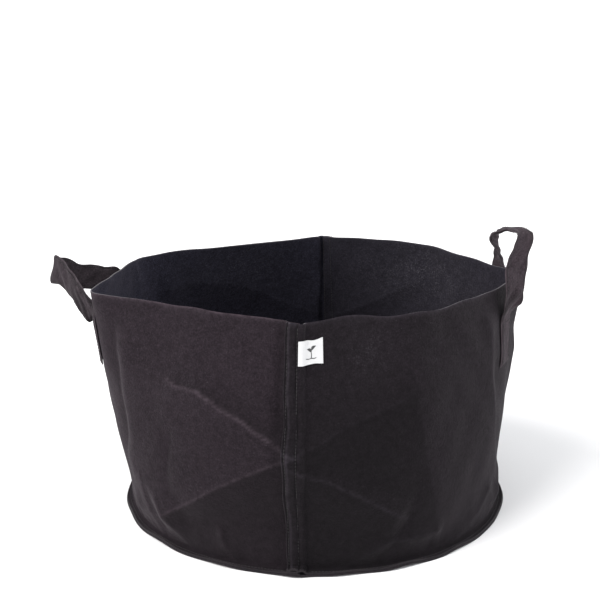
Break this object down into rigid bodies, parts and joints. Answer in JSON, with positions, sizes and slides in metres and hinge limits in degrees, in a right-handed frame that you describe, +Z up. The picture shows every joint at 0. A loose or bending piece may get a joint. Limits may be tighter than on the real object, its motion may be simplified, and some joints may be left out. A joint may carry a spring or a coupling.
{
  "type": "fabric grow bag",
  "caption": "Low round felt grow bag with two lapped wall panels, a flat sewn-in base, two swinging strap handles and a small folded label.",
  "frame": {"origin": "middle of the base's flat underside, on the surface the bag stands on", "axes": "+Z up through the open mouth; -Y towards the front seam with the label; the handles are at -X and +X"},
  "size_m": [0.6618, 0.518, 0.3803],
  "materials": {
    "wall_felt": "needle-punched felt, matt black with a faint brown and blue cast",
    "base_felt": "needle-punched felt, matt black",
    "strap_felt": "doubled felt strap, matt black",
    "thread": "black polyester sewing thread, slight sheen",
    "label_ribbon": "white woven ribbon with a small dark printed sprout"
  },
  "bodies": {
    "bag": {"base_panel": "base_felt", "wall_panel_right": "wall_felt", "wall_panel_left": "wall_felt", "base_seam_thread": "thread", "front_seam_thread_edge": "thread", "front_seam_thread_inner": "thread", "back_seam_thread_edge": "thread", "back_seam_thread_inner": "thread", "handle_left_front_tab": "strap_felt", "handle_left_rear_tab": "strap_felt", "handle_left_front_thread": "thread", "handle_left_rear_thread": "thread", "handle_right_front_tab": "strap_felt", "handle_right_rear_tab": "strap_felt", "handle_right_front_thread": "thread", "handle_right_rear_thread": "thread"},
    "handle_left": {"handle_left_loop": "strap_felt"},
    "handle_right": {"handle_right_loop": "strap_felt"},
    "label": {"label_tag": "label_ribbon"}
  },
  "joints": [
    {"name": "handle_left_swing", "type": "hinge", "parent": "bag", "child": "handle_left", "pos_m": [-0.27712, -0.03231, 0.268], "axis": [-0.0375, -0.9993, 0], "range_deg": [-32, 92]},
    {"name": "handle_right_swing", "type": "hinge", "parent": "bag", "child": "handle_right", "pos_m": [0.25561, 0.01451, 0.268], "axis": [-0.0118, 0.9999, 0], "range_deg": [-4, 146]},
    {"name": "label_flip", "type": "hinge", "parent": "bag", "child": "label", "pos_m": [-0.0056, -0.23038, 0.2725], "axis": [0.0091, -0.2901, -0.9569], "range_deg": [0, 120]}
  ]
}
